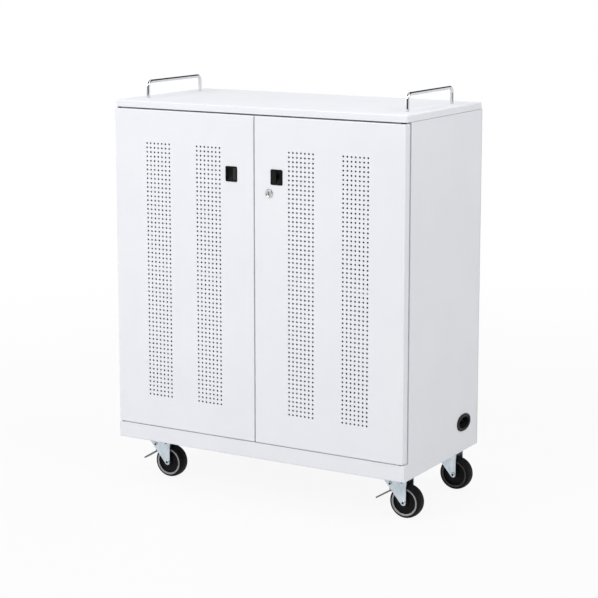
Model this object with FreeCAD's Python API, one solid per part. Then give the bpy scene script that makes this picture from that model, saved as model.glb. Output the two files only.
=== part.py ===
import FreeCAD, Part
import math
import os

from FreeCAD import Vector

# Laptop storage cabinet on casters, in millimetres.
# X runs across the front, +Y to the back, +Z up; the origin is on the floor under the middle.

# Whole cabinet
body_width = 745.0
body_depth = 370.0
ground_clearance = 101.0
plinth_height = 36.5
door_height = 730.0
top_thickness = 15.0
sheet = 1.0
bend = 2.2
overrun = 2.0
running_clearance = 0.05
loose_clearance = 0.2
touch_gap = 0.3

# Doors
door_depth = 20.0
door_gap_low = 2.0
door_gap_top = 3.5
door_gap_centre = 2.2
door_side_inset = 2.0
door_back_clearance = 4.0
door_proud = 3.0
door_lip = 12.0
hole_pitch = 10.0
hole_diameter = 4.5
hole_columns = 7
hole_rows = 59
strip_offset = 67.0

# Door stiffener
stiffener_crown = 26.0
stiffener_flange = 12.0
stiffener_depth = 14.0
stiffener_end_margin = 20.0

# Recessed pulls
pull_width = 30.0
pull_height = 34.0
pull_rim = 1.5
pull_depth = 13.0
pull_wall = 1.5
pull_flange = 1.6
pull_corner = 3.0
pull_lip_thickness = 3.5
pull_lip_share = 0.42
pull_x = 58.0
pull_drop = 130.5

# Lock
lock_x = 39.0
lock_drop = 167.0
lock_bezel_radius = 10.0
lock_bezel_height = 3.0
lock_bezel_round = 1.2
lock_body_radius = 8.0
lock_plug_radius = 6.0
lock_plug_recess = 0.6
lock_tail_radius = 4.0
lock_nut_flats = 22.0
lock_nut_height = 4.0
keyway_width = 1.8
keyway_height = 7.5
keyway_depth = 9.0
cam_length = 32.0
cam_width = 13.0
cam_thickness = 2.0
cam_setback = 1.5
cam_screw_radius = 2.0
cam_screw_length = 9.0
cam_screw_head_radius = 5.5
cam_screw_head_height = 2.4

# Door hinges: a pin at the top and bottom of each door turns in a flanged bush
hinge_side_inset = 8.0
hinge_front_inset = 9.0
hinge_pin_radius = 3.0
hinge_pin_reach = 8.0
hinge_plate_length = 30.0
hinge_plate_width = 14.0
hinge_plate_thickness = 3.0
bush_radius = 4.6
bush_flange_radius = 5.4
bush_sleeve = 6.0
bush_play = 0.3

# Door catches
catch_width = 9.0
catch_height = 50.0
catch_thickness = 2.2
catch_drop = 79.5
catch_edge_margin = 1.5
strike_height = 60.0

# Carcass
side_flange_front = 20.0
side_flange_back = 15.0
rail_height = 40.0
rail_depth = 20.0
post_width = 30.0
plinth_lip = 12.0
floor_lip = 20.0
top_corner_radius = 6.0
top_lip = 25.0
top_joint = 0.8

# Shelf and dividers
shelf_height = 367.5
shelf_lip = 18.0
shelf_side_clearance = 1.5
shelf_front_setback = 3.0
shelf_back_clearance = 2.0
shelf_rail_leg = 18.0
shelf_rail_thickness = 1.5
slots_per_tier = 12
divider_height = 320.0
divider_depth = 250.0
divider_setback = 9.0
divider_corner = 60.0
tab_length = 20.0
tab_depth = 1.0
tab_margin = 20.0

# Cable outlet
outlet_length = 68.0
outlet_height = 36.0
outlet_back_distance = 75.5
outlet_rise = 30.5
outlet_flange_thickness = 3.0
outlet_flange_width = 5.0
outlet_wall = 2.0
outlet_sleeve = 12.0
outlet_round = 1.2

# Push handles
handle_rod_radius = 4.0
handle_span = 214.0
handle_height = 41.0
handle_bend = 12.0
handle_side_inset = 39.0
handle_screw_radius = 2.0
handle_screw_depth = 12.0
handle_screw_head_radius = 5.0
handle_screw_head_height = 2.6

# Caster rails and plates
caster_side_inset = 62.0
caster_front_inset = 77.0
caster_back_inset = 45.0
channel_width = 80.0
channel_sheet = 2.0
channel_bend = 4.0
plate_length = 95.0
plate_width = 66.0
plate_thickness = 3.0
plate_corner = 6.0
plate_underside = 103.0
race_radius = 26.0
race_height = 4.5
kingpin_radius = 6.0
kingpin_head_radius = 9.0
kingpin_head_height = 3.0
bolt_spacing_x = 76.0
bolt_spacing_y = 46.0
bolt_radius = 4.0
bolt_head_radius = 6.5
bolt_head_height = 3.3
bolt_head_round = 1.8
bolt_nut_flats = 13.0
bolt_nut_height = 6.5

# Wheels
wheel_radius = 37.5
tyre_width = 30.0
tyre_round = 7.0
rim_radius = 30.0
rim_wall = 3.5
rim_width = 27.0
web_thickness = 9.0
hub_boss_radius = 10.0
wheel_trail = 32.5
axle_radius = 4.0
axle_head_radius = 5.6
axle_head_height = 2.2

# Forks
fork_sheet = 2.5
fork_bend = 4.5
fork_gap = 34.0
fork_top = 96.0
fork_reach_back = 26.0
fork_end_radius = 6.5
fork_race_radius = 24.0
fork_hole_radius = 2.5
fork_hole_inset = 11.0
fork_hole_drop = 13.0

# Brakes
brake_pin_radius = 3.0
brake_pin_height = 76.6
brake_pin_head_radius = 5.0
brake_pin_head_height = 1.6
pedal_width = 26.0
pedal_sheet = 3.0
pedal_ear_radius = 7.0
pedal_reach = 42.0
pedal_tip_height = 36.0
pedal_round = 8.0
shoe_gap = 0.35
shoe_thickness = 4.0
shoe_start_angle = 131.0
shoe_end_angle = 150.0

# Places that follow from the sizes
half_width = body_width / 2
y_front = -body_depth / 2
y_back = body_depth / 2
floor_z = ground_clearance + plinth_height
door_z0 = floor_z + door_gap_low
door_z1 = door_z0 + door_height
top_z0 = door_z1 + door_gap_top
top_z1 = top_z0 + top_thickness
panel_front = y_front + door_proud
door_back = y_front + door_depth
carcass_front = door_back + door_back_clearance
rail_z0 = top_z0 - rail_height
wall_inside = half_width - sheet
shelf_z = floor_z + shelf_height
door_x0 = door_gap_centre / 2
door_x1 = half_width - door_side_inset
door_width = door_x1 - door_x0
hinge_x = door_x1 - hinge_side_inset
hinge_y = y_front + hinge_front_inset
pull_z = door_z1 - pull_drop
lock_z = door_z1 - lock_drop
cam_y0 = carcass_front + sheet + cam_setback
cam_y1 = cam_y0 + cam_thickness
catch_z = door_z1 - catch_drop
catch_x0 = door_x0 + catch_edge_margin
divider_y0 = carcass_front + rail_depth + divider_setback
divider_y1 = divider_y0 + divider_depth
slot_pitch = 2 * wall_inside / slots_per_tier
outlet_y = y_back - outlet_back_distance
outlet_z = floor_z + outlet_rise
handle_x = half_width - handle_side_inset
handle_y = (panel_front + y_back) / 2
channel_z0 = plate_underside + plate_thickness
caster_x = half_width - caster_side_inset
caster_front_y = y_front + caster_front_inset
caster_back_y = y_back - caster_back_inset
axle_half_length = fork_gap / 2 + fork_sheet
brake_pin = Vector(0, 0, brake_pin_height)
wheel_centre = Vector(wheel_trail, 0, wheel_radius)

across = Vector(1, 0, 0)
inwards = Vector(0, 1, 0)
upwards = Vector(0, 0, 1)
origin = Vector(0, 0, 0)


def box(x0, x1, y0, y1, z0, z1):
    return Part.makeBox(x1 - x0, y1 - y0, z1 - z0, Vector(x0, y0, z0))


def rod(radius, start, end):
    along = end - start
    return Part.makeCylinder(radius, along.Length, start, along)


def mirrored(shape):
    return shape.mirror(origin, across)


def unit(vector):
    return vector * (1 / vector.Length)


def rounded_path(points, radii):
    """Straight runs through points, with a tangent arc of the given radius at each corner between."""
    edges = []
    start = points[0]
    for before, corner, after, radius in zip(points, points[1:], points[2:], radii):
        arriving = unit(corner - before)
        leaving = unit(after - corner)
        half_turn = arriving.getAngle(leaving) / 2
        reach = radius * math.tan(half_turn)
        depth = radius / math.cos(half_turn) - radius
        arc_start = corner - arriving * reach
        arc_middle = corner + unit(leaving - arriving) * depth
        arc_end = corner + leaving * reach
        edges.append(Part.LineSegment(start, arc_start).toShape())
        edges.append(Part.Arc(arc_start, arc_middle, arc_end).toShape())
        start = arc_end
    edges.append(Part.LineSegment(start, points[-1]).toShape())
    return edges


def folded_sheet(points, thickness, outer_bend, run):
    """Sheet metal folded along points, thickened to the left of the path, and carried along run."""
    axis = unit(run)
    headings = [unit(b - a) for a, b in zip(points, points[1:])]
    lefts = [axis.cross(heading) for heading in headings]
    path_radii = []
    offset_radii = []
    offset = [points[0] + lefts[0] * thickness]
    for i in range(len(headings) - 1):
        turns_left = headings[i].cross(headings[i + 1]).dot(axis) > 0
        path_radii.append(outer_bend if turns_left else outer_bend - thickness)
        offset_radii.append(outer_bend - thickness if turns_left else outer_bend)
        spread = (lefts[i] + lefts[i + 1]) * (thickness / (1 + lefts[i].dot(lefts[i + 1])))
        offset.append(points[i + 1] + spread)
    offset.append(points[-1] + lefts[-1] * thickness)
    edges = rounded_path(points, path_radii) + rounded_path(offset, offset_radii)
    edges.append(Part.LineSegment(points[0], offset[0]).toShape())
    edges.append(Part.LineSegment(points[-1], offset[-1]).toShape())
    section = Part.Face(Part.Wire(Part.__sortEdges__(edges)))
    return section.extrude(run)


def rounded_slab(width, depth, height, corner, edge):
    """Slab with its base centred on the origin, upright corners and top edges rounded."""
    slab = Part.makeBox(width, depth, height, Vector(-width / 2, -depth / 2, 0))
    uprights = [e for e in slab.Edges if abs(e.Vertexes[0].Z - e.Vertexes[1].Z) > height / 2]
    slab = slab.makeFillet(corner, uprights)
    if edge > 0:
        rim = [e for e in slab.Edges if e.BoundBox.ZMin > height - height / 2]
        slab = slab.makeFillet(edge, rim)
    return slab


def folded_tray(width, depth, height, corner, edge, lip):
    """Shallow sheet-metal tray, face up, with folded walls and a lip turned in round its open side."""
    outside = rounded_slab(width, depth, height, corner, edge)
    skin = 2 * sheet
    inside = rounded_slab(width - skin, depth - skin, height - skin, corner - sheet, edge - sheet)
    inside.translate(Vector(0, 0, sheet))
    mouth = box(lip - width / 2, width / 2 - lip, lip - depth / 2, depth / 2 - lip, -overrun, skin)
    return outside.cut([inside, mouth])


def hexagon(flats, start, run):
    """Hexagonal prism on start, carried along run."""
    axis = unit(run)
    side = unit(axis.cross(upwards if abs(axis.z) < 1 else across))
    corner = flats / 2 / math.cos(math.radians(30))
    points = [start + FreeCAD.Rotation(axis, 60 * i).multVec(side) * corner for i in range(7)]
    return Part.Face(Part.makePolygon(points)).extrude(run)


def stadium(length, height, x0, x1, y, z):
    """Oblong prism with round ends, lying along X, its long way along Y."""
    radius = height / 2
    shift = length / 2 - radius
    ends = [rod(radius, Vector(x0, y + s, z), Vector(x1, y + s, z)) for s in (-shift, shift)]
    middle = box(x0, x1, y - shift, y + shift, z - radius, z + radius)
    return middle.fuse(ends).removeSplitter()


def side_panel():
    """Right side panel: a wall folded in at the front and back, its skirt running on to the plinth."""
    wall = folded_sheet(
        [
            Vector(half_width - side_flange_front, carcass_front, floor_z),
            Vector(half_width, carcass_front, floor_z),
            Vector(half_width, y_back - sheet, floor_z),
            Vector(half_width - side_flange_back, y_back - sheet, floor_z),
        ],
        sheet, bend, upwards * (top_z0 - top_joint - floor_z),
    )
    skirt = folded_sheet(
        [
            Vector(half_width, panel_front + sheet, ground_clearance),
            Vector(half_width, y_back - sheet, ground_clearance),
            Vector(half_width - side_flange_back, y_back - sheet, ground_clearance),
        ],
        sheet, bend, upwards * plinth_height,
    )
    return wall.fuse(skirt).removeSplitter()


def outlet_cutout():
    clear_length = outlet_length - 2 * outlet_flange_width + loose_clearance
    clear_height = outlet_height - 2 * outlet_flange_width + loose_clearance
    inner = wall_inside - overrun
    outer = half_width + overrun
    return stadium(clear_length, clear_height, inner, outer, outlet_y, outlet_z)


def cable_outlet():
    """Oblong bush: a rounded flange outside the right wall and a sleeve through it."""
    sleeve_length = outlet_length - 2 * outlet_flange_width
    sleeve_height = outlet_height - 2 * outlet_flange_width
    face = half_width + outlet_flange_thickness
    flange = stadium(outlet_length, outlet_height, half_width, face, outlet_y, outlet_z)
    outer_rim = [e for e in flange.Edges if e.BoundBox.XMin > half_width + outlet_flange_thickness / 2]
    flange = flange.makeFillet(outlet_round, outer_rim)
    sleeve_end = half_width - outlet_sleeve
    sleeve = stadium(sleeve_length, sleeve_height, sleeve_end, half_width, outlet_y, outlet_z)
    bore = stadium(
        sleeve_length - 2 * outlet_wall, sleeve_height - 2 * outlet_wall,
        sleeve_end - overrun, face + overrun, outlet_y, outlet_z,
    )
    return flange.fuse(sleeve).cut(bore)


def back_panel():
    return box(-half_width, half_width, y_back - sheet, y_back, ground_clearance, top_z0)


def hinge_holes(z0, z1):
    radius = bush_radius + running_clearance
    return [rod(radius, Vector(x, hinge_y, z0), Vector(x, hinge_y, z1)) for x in (-hinge_x, hinge_x)]


def divider_places():
    return [slot_pitch * (i + 1) - wall_inside for i in range(slots_per_tier - 1)]


def tab_starts():
    return (divider_y0 + tab_margin, divider_y1 - tab_margin - tab_length)


def tab_slots(z):
    """Slots through a sheet whose top is at z, one for each divider tab."""
    half = sheet / 2 + loose_clearance
    slots = []
    for x in divider_places():
        for y in tab_starts():
            y0 = y - loose_clearance
            y1 = y + tab_length + loose_clearance
            slots.append(box(x - half, x + half, y0, y1, z - sheet - overrun, z + overrun))
    return slots


def base_pan():
    """Floor folded down into the plinth in front and into lips at the sides and back."""
    rear = y_back - 2 * sheet
    pan = folded_sheet(
        [
            Vector(-half_width, rear, floor_z - floor_lip),
            Vector(-half_width, rear, floor_z),
            Vector(-half_width, panel_front, floor_z),
            Vector(-half_width, panel_front, ground_clearance),
            Vector(-half_width, panel_front + plinth_lip, ground_clearance),
        ],
        sheet, bend, across * body_width,
    )
    trims = []
    lips = []
    corner_room = bend - sheet
    lip_front = panel_front + plinth_lip
    lip_low = floor_z - floor_lip
    for side in (-1, 1):
        edges = sorted((side * wall_inside, side * (half_width + overrun)))
        lip_edges = sorted((side * wall_inside, side * (wall_inside - sheet)))
        corner_edges = sorted((side * (wall_inside - corner_room), side * wall_inside))
        trims.append(box(*edges, panel_front + sheet, y_back, 0, floor_z + overrun))
        trims.append(box(*corner_edges, rear - corner_room, y_back, 0, floor_z + overrun))
        lips.append(box(*lip_edges, lip_front, rear - bend, lip_low, floor_z - sheet))
    cuts = trims + tab_slots(floor_z) + hinge_holes(floor_z - sheet - overrun, floor_z + overrun)
    return pan.cut(cuts).fuse(lips).removeSplitter()


def handle_feet():
    """Where the handles' legs stand on the top panel."""
    half = handle_span / 2
    ends = (handle_y - half, handle_y + half)
    return [Vector(x, y, top_z1) for x in (-handle_x, handle_x) for y in ends]


def top_panel():
    depth = y_back - panel_front
    tray = folded_tray(body_width, depth, top_thickness, top_corner_radius, bend, top_lip)
    tray.translate(Vector(0, panel_front + depth / 2, top_z0))
    holes = hinge_holes(top_z0 - overrun, top_z0 + sheet + overrun)
    radius = handle_screw_radius + loose_clearance
    for foot in handle_feet():
        holes.append(rod(radius, foot - upwards * (sheet + overrun), foot + upwards * overrun))
    return tray.cut(holes)


def top_rail():
    """Channel across the front, under the top panel."""
    x0 = side_flange_front - half_width
    rail_back = carcass_front + rail_depth
    return folded_sheet(
        [
            Vector(x0, rail_back, top_z0),
            Vector(x0, carcass_front, top_z0),
            Vector(x0, carcass_front, rail_z0),
            Vector(x0, rail_back, rail_z0),
        ],
        sheet, bend, across * (-2 * x0),
    )


def centre_post():
    """Channel between the doors, open to the back, slotted where the lock's cam turns in."""
    half = post_width / 2
    post_back = carcass_front + rail_depth
    post = folded_sheet(
        [
            Vector(-half, post_back, floor_z),
            Vector(-half, carcass_front, floor_z),
            Vector(half, carcass_front, floor_z),
            Vector(half, post_back, floor_z),
        ],
        sheet, bend, upwards * (rail_z0 - floor_z),
    )
    slot_low = lock_z - cam_length - overrun
    slot_high = lock_z + cam_width / 2 + overrun
    slot_front = cam_y0 - touch_gap
    slot_back = cam_y1 + overrun
    slot = box(half - sheet - overrun, half + overrun, slot_front, slot_back, slot_low, slot_high)
    return post.cut(slot)


def middle_shelf():
    """Shelf folded down at the front and back, slotted for the upper dividers."""
    x0 = shelf_side_clearance - wall_inside
    front = carcass_front + rail_depth + shelf_front_setback
    rear = y_back - 2 * sheet - shelf_back_clearance
    shelf = folded_sheet(
        [
            Vector(x0, rear, shelf_z - shelf_lip),
            Vector(x0, rear, shelf_z),
            Vector(x0, front, shelf_z),
            Vector(x0, front, shelf_z - shelf_lip),
        ],
        sheet, bend, across * (-2 * x0),
    )
    return shelf.cut(tab_slots(shelf_z))


def shelf_rails():
    """An angle on each side wall, under the shelf."""
    front = carcass_front + rail_depth + shelf_front_setback + bend
    rear = y_back - 2 * sheet - shelf_back_clearance - bend
    top = shelf_z - sheet
    rail = folded_sheet(
        [
            Vector(wall_inside - shelf_rail_leg, front, top),
            Vector(wall_inside, front, top),
            Vector(wall_inside, front, top - shelf_rail_leg),
        ],
        shelf_rail_thickness, bend, inwards * (rear - front),
    )
    return Part.makeCompound([mirrored(rail), rail])


def divider(x, z):
    """Upright plate with a rounded front corner and two tabs through the sheet below."""
    top = z + divider_height
    corner = [
        Vector(x, divider_y0, z),
        Vector(x, divider_y0, top),
        Vector(x, divider_y1, top),
    ]
    edges = rounded_path(corner, [divider_corner])
    edges.append(Part.makePolygon([corner[-1], Vector(x, divider_y1, z), corner[0]]))
    outline = Part.Wire([e for shape in edges for e in shape.Edges])
    plate = Part.Face(outline).extrude(across * sheet)
    tabs = [box(x, x + sheet, y, y + tab_length, z - tab_depth, z) for y in tab_starts()]
    return plate.fuse(tabs).removeSplitter()


def dividers(z):
    return Part.makeCompound([divider(x - sheet / 2, z) for x in divider_places()])


def perforations(centre):
    """Every hole of both strips of a door, on its own upright middle line at centre."""
    radius = hole_diameter / 2
    y0 = y_front - overrun
    y1 = y_front + sheet + overrun
    middle = (door_z0 + door_z1) / 2
    holes = []
    for strip in (-strip_offset, strip_offset):
        for column in range(hole_columns):
            x = centre + strip + (column - (hole_columns - 1) / 2) * hole_pitch
            for row in range(hole_rows):
                z = middle + (row - (hole_rows - 1) / 2) * hole_pitch
                holes.append(rod(radius, Vector(x, y0, z), Vector(x, y1, z)))
    return holes


def door_panel(side, cutouts):
    """Folded door tray, perforated, with the cutouts of its fittings; side is 1 right, -1 left."""
    tray = folded_tray(door_width, door_height, door_depth, bend, bend, door_lip)
    centre = side * (door_x0 + door_x1) / 2
    tray.rotate(origin, across, 90)
    tray.translate(Vector(centre, door_back, (door_z0 + door_z1) / 2))
    return tray.cut(Part.makeCompound(perforations(centre) + cutouts))


def pull_cutout():
    half_width_clear = pull_width / 2 - pull_flange + loose_clearance
    half_height_clear = pull_height / 2 - pull_flange + loose_clearance
    return box(
        pull_x - half_width_clear, pull_x + half_width_clear,
        y_front - overrun, y_front + sheet + overrun,
        pull_z - half_height_clear, pull_z + half_height_clear,
    )


def hinge_pin_holes():
    radius = hinge_pin_radius + running_clearance
    holes = []
    for z0, z1 in ((door_z1 - 2 * sheet, door_z1 + overrun), (door_z0 - overrun, door_z0 + 2 * sheet)):
        holes.append(rod(radius, Vector(hinge_x, hinge_y, z0), Vector(hinge_x, hinge_y, z1)))
    return holes


def lock_hole():
    radius = lock_body_radius + loose_clearance
    return rod(radius, lock_point(y_front - overrun), lock_point(y_front + sheet + overrun))


def door_stiffener():
    """Hat section up the middle of the door, its flanges on the back of the face."""
    middle = (door_x0 + door_x1) / 2
    half = stiffener_crown / 2
    low = door_z0 + stiffener_end_margin
    face = y_front + sheet
    crown = face + stiffener_depth
    outline = [
        (-half - stiffener_flange, face), (-half, face), (-half, crown),
        (half, crown), (half, face), (half + stiffener_flange, face),
    ]
    points = [Vector(middle + x, y, low) for x, y in outline]
    return folded_sheet(points, sheet, bend, upwards * (door_height - 2 * stiffener_end_margin))


def door_pull():
    """Recessed cup with a rounded rim; the fingers hook behind the lip on the door's free side."""
    rim = rounded_slab(pull_width, pull_height, pull_rim, pull_corner, pull_rim / 2)
    rim.rotate(origin, across, 90)
    rim.translate(Vector(pull_x, y_front, pull_z))
    x0 = pull_x - pull_width / 2 + pull_flange
    x1 = pull_x + pull_width / 2 - pull_flange
    z0 = pull_z - pull_height / 2 + pull_flange
    z1 = pull_z + pull_height / 2 - pull_flange
    cup = box(x0, x1, y_front, y_front + pull_depth, z0, z1)
    hollow_x0 = x0 + pull_wall
    hollow_x1 = x1 - pull_wall
    mouth_x0 = pull_x - pull_width / 2 + pull_lip_share * pull_width
    hollow_back = y_front + pull_depth - pull_wall
    hollow_front = y_front - pull_rim + pull_lip_thickness
    z_low = z0 + pull_wall
    z_high = z1 - pull_wall
    hollow = box(hollow_x0, hollow_x1, hollow_front, hollow_back, z_low, z_high)
    mouth = box(mouth_x0, hollow_x1, y_front - pull_rim - overrun, hollow_front + overrun, z_low, z_high)
    return rim.fuse(cup).cut([hollow, mouth])


def hinge_pins():
    """A plate inside each end of the door, with the pin that the door turns on."""
    x1 = door_x1 - bend
    x0 = x1 - hinge_plate_length
    y0 = y_front + bend
    pins = []
    for inner, direction in ((door_z1 - sheet, 1), (door_z0 + sheet, -1)):
        far = inner - direction * hinge_plate_thickness
        plate = box(x0, x1, y0, y0 + hinge_plate_width, min(inner, far), max(inner, far))
        tip = inner + direction * (sheet + hinge_pin_reach)
        pin = rod(hinge_pin_radius, Vector(hinge_x, hinge_y, far), Vector(hinge_x, hinge_y, tip))
        pins.append(plate.fuse(pin).removeSplitter())
    return Part.makeCompound(pins)


def hinge_bushes():
    """Flanged bushes in the floor and in the top panel's lip, open right through."""
    bushes = []
    for x in (-hinge_x, hinge_x):
        for seat, gap, direction in ((floor_z, door_gap_low, 1), (top_z0, door_gap_top, -1)):
            flange_end = Vector(x, hinge_y, seat + direction * (gap - bush_play))
            sleeve_end = Vector(x, hinge_y, seat - direction * (sheet + bush_sleeve))
            foot = Vector(x, hinge_y, seat)
            bush = rod(bush_flange_radius, foot, flange_end).fuse(rod(bush_radius, foot, sleeve_end))
            bushes.append(bush.cut(rod(hinge_pin_radius + running_clearance, sleeve_end, flange_end)))
    return Part.makeCompound(bushes)


def catch_plate():
    """Steel plate on the back of the door's free edge, which the magnet pulls on."""
    thickness = door_back_clearance - catch_thickness - touch_gap
    x1 = catch_x0 + catch_width
    z0 = catch_z - strike_height / 2
    return box(catch_x0, x1, door_back, door_back + thickness, z0, z0 + strike_height)


def door_catches():
    """Flat magnets on the front of the post, one for each door."""
    z0 = catch_z - catch_height / 2
    x1 = catch_x0 + catch_width
    magnet = box(catch_x0, x1, carcass_front - catch_thickness, carcass_front, z0, z0 + catch_height)
    return Part.makeCompound([mirrored(magnet), magnet])


def lock_point(y):
    return Vector(lock_x, y, lock_z)


def lock_housing():
    """Round lock barrel: a bevelled bezel outside the door and a bored body through it."""
    bezel = rod(lock_bezel_radius, lock_point(y_front), lock_point(y_front - lock_bezel_height))
    front_edge = [e for e in bezel.Edges if e.BoundBox.YMax < y_front - lock_bezel_height / 2]
    bezel = bezel.makeFillet(lock_bezel_round, front_edge)
    body = rod(lock_body_radius, lock_point(y_front), lock_point(cam_y0 - touch_gap))
    bore_start = lock_point(y_front - lock_bezel_height - overrun)
    bore = rod(lock_plug_radius + running_clearance, bore_start, lock_point(cam_y0))
    return bezel.fuse(body).cut(bore)


def lock_nut():
    start = lock_point(y_front + sheet)
    run = inwards * lock_nut_height
    bore = rod(lock_body_radius + running_clearance, start, start + run)
    return hexagon(lock_nut_flats, start, run).cut(bore)


def lock_plug():
    """Turning plug with its keyway in front and a turned-down tail that carries the cam."""
    front = y_front - lock_bezel_height + lock_plug_recess
    plug = rod(lock_plug_radius, lock_point(front), lock_point(cam_y0))
    tail = rod(lock_tail_radius, lock_point(cam_y0), lock_point(cam_y1))
    keyway = box(
        lock_x - keyway_width / 2, lock_x + keyway_width / 2,
        front - overrun, front + keyway_depth,
        lock_z - keyway_height / 2, lock_z + keyway_height / 2,
    )
    screw_hole = rod(cam_screw_radius, lock_point(cam_y1 - cam_screw_length), lock_point(cam_y1))
    return plug.fuse(tail).cut([keyway, screw_hole])


def lock_cam():
    """Flat cam that hangs down when the lock is open, its tip rounded."""
    half = cam_width / 2
    tip_centre = lock_z - cam_length + half
    arm = box(lock_x - half, lock_x + half, cam_y0, cam_y1, tip_centre, lock_z)
    hub = rod(half, lock_point(cam_y0), lock_point(cam_y1))
    tip = rod(half, Vector(lock_x, cam_y0, tip_centre), Vector(lock_x, cam_y1, tip_centre))
    hole = rod(lock_tail_radius + running_clearance, lock_point(cam_y0), lock_point(cam_y1))
    return arm.fuse([hub, tip]).removeSplitter().cut(hole)


def cam_screw():
    head = rod(cam_screw_head_radius, lock_point(cam_y1), lock_point(cam_y1 + cam_screw_head_height))
    shank = rod(cam_screw_radius, lock_point(cam_y1 - cam_screw_length), lock_point(cam_y1))
    return head.fuse(shank)


def push_handle():
    """Round rod bent twice, its legs standing on the top panel and tapped for a screw from below."""
    half = handle_span / 2
    ridge = top_z1 + handle_height - handle_rod_radius
    points = [
        Vector(handle_x, handle_y - half, top_z1),
        Vector(handle_x, handle_y - half, ridge),
        Vector(handle_x, handle_y + half, ridge),
        Vector(handle_x, handle_y + half, top_z1),
    ]
    path = Part.Wire(rounded_path(points, [handle_bend, handle_bend]))
    section = Part.Wire(Part.makeCircle(handle_rod_radius, points[0], upwards))
    bar = path.makePipeShell([section], True, False)
    taps = [
        rod(handle_screw_radius + running_clearance, foot, foot + upwards * handle_screw_depth)
        for foot in (points[0], points[-1])
    ]
    return bar.cut(taps)


def handle_screws():
    screws = []
    for foot in handle_feet():
        seat = foot - upwards * sheet
        head = rod(handle_screw_head_radius, seat, seat - upwards * handle_screw_head_height)
        shank = rod(handle_screw_radius, seat, foot + upwards * handle_screw_depth)
        screws.append(head.fuse(shank))
    return Part.makeCompound(screws)


def caster_places():
    return {
        "front_left": Vector(-caster_x, caster_front_y, 0),
        "front_right": Vector(caster_x, caster_front_y, 0),
        "rear_left": Vector(-caster_x, caster_back_y, 0),
        "rear_right": Vector(caster_x, caster_back_y, 0),
    }


def bolt_places():
    x = bolt_spacing_x / 2
    y = bolt_spacing_y / 2
    return [Vector(-x, -y, 0), Vector(x, -y, 0), Vector(-x, y, 0), Vector(x, y, 0)]


def bolt_hole(place):
    radius = bolt_radius + loose_clearance
    low = plate_underside - overrun
    high = channel_z0 + channel_sheet + overrun
    return rod(radius, place + upwards * low, place + upwards * high)


def caster_rails():
    """A channel under the floor at the front and at the back, bored for the caster bolts."""
    x0 = wall_inside - sheet
    rails = []
    places = caster_places()
    for row in ("front", "rear"):
        y = places[row + "_left"].y
        half = channel_width / 2
        rail = folded_sheet(
            [
                Vector(x0, y + half, floor_z - sheet),
                Vector(x0, y + half, channel_z0),
                Vector(x0, y - half, channel_z0),
                Vector(x0, y - half, floor_z - sheet),
            ],
            channel_sheet, channel_bend, across * (-2 * x0),
        )
        corners = (places[row + "_left"], places[row + "_right"])
        rails.append(rail.cut([bolt_hole(c + b) for c in corners for b in bolt_places()]))
    return Part.makeCompound(rails)


def caster_plate():
    """Mounting plate with a pressed race below it and the kingpin that holds the fork."""
    plate = rounded_slab(plate_length, plate_width, plate_thickness, plate_corner, 0)
    plate.translate(upwards * plate_underside)
    race_end = plate_underside - race_height
    race = rod(race_radius, upwards * plate_underside, upwards * race_end)
    head_top = fork_top - fork_sheet - touch_gap
    pin = rod(kingpin_radius, upwards * race_end, upwards * head_top)
    head = rod(kingpin_head_radius, upwards * head_top, upwards * (head_top - kingpin_head_height))
    return plate.fuse([race, pin, head]).cut([bolt_hole(b) for b in bolt_places()])


def caster_bolts():
    bolts = []
    shank_end = channel_z0 + channel_sheet + bolt_nut_height
    for place in caster_places().values():
        for corner in bolt_places():
            foot = place + corner
            seat = foot + upwards * plate_underside
            head = rod(bolt_head_radius, seat, seat - upwards * bolt_head_height)
            low_rim = [e for e in head.Edges if e.BoundBox.ZMax < plate_underside - bolt_head_height / 2]
            head = head.makeFillet(bolt_head_round, low_rim)
            shank = rod(bolt_radius, seat, foot + upwards * shank_end)
            nut_seat = foot + upwards * (channel_z0 + channel_sheet)
            nut = hexagon(bolt_nut_flats, nut_seat, upwards * bolt_nut_height)
            bolts.append(head.fuse([shank, nut]).removeSplitter())
    return Part.makeCompound(bolts)


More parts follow.
